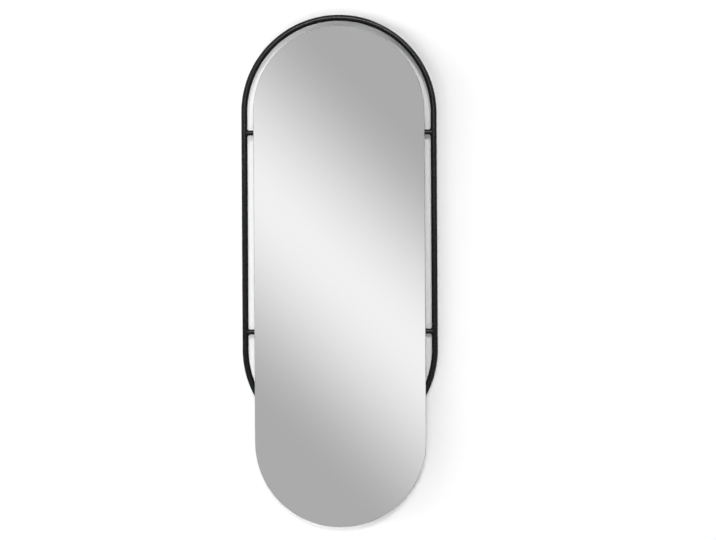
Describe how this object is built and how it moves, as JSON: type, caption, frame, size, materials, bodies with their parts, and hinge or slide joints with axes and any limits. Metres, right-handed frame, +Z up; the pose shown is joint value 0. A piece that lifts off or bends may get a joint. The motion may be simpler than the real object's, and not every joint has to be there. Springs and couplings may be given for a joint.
{
  "type": "wall mirror",
  "caption": "Tall pill-shaped mirror in front of a shorter ring of round tube, hung by a crossbar in wall hooks, so that it lifts off and its lower end swings out.",
  "frame": {"origin": "on the wall plane, in the middle of the four wall holes, level with the axis of the upper crossbar", "axes": "+X to the right seen from the front, +Y into the wall, +Z up"},
  "size_m": [0.612, 0.068, 1.5996],
  "materials": {
    "mirror": "silvered float glass with polished edges",
    "black_steel": "matt black powder coat",
    "board": "MDF with a thin black lacquer",
    "film": "grey woven safety film",
    "foam": "white closed-cell foam tape",
    "zinc": "zinc-plated steel",
    "nylon": "moulded black nylon",
    "pad_rubber": "dull grey-black rubber"
  },
  "bodies": {
    "wall_hooks": {"wall_plate_left": "zinc", "wall_plate_right": "zinc", "hook_fin_left": "zinc", "hook_fin_right": "zinc"},
    "bar_spools": {"bar_spool_left": "nylon", "bar_spool_right": "nylon"},
    "mirror": {"mirror_glass": "mirror", "safety_film": "film", "foam_tape": "foam", "backing_board": "board", "frame_tube": "black_steel", "upper_crossbar": "black_steel", "lower_crossbar": "black_steel", "board_plate_upper_left": "black_steel", "board_plate_upper_right": "black_steel", "board_plate_lower_left": "black_steel", "board_plate_lower_right": "black_steel", "plate_screws": "zinc", "wall_spacer_left": "nylon", "wall_spacer_right": "nylon", "spacer_pad_left": "pad_rubber", "spacer_pad_right": "pad_rubber"}
  },
  "joints": [
    {"name": "lift_off", "type": "slide", "parent": "wall_hooks", "child": "bar_spools", "axis": [0, 0, 1], "range_m": [0, 0.018]},
    {"name": "swing_out", "type": "hinge", "parent": "bar_spools", "child": "mirror", "pos_m": [0, -0.0335, 0], "axis": [-1, 0, 0], "range_deg": [0, 3.8]}
  ]
}
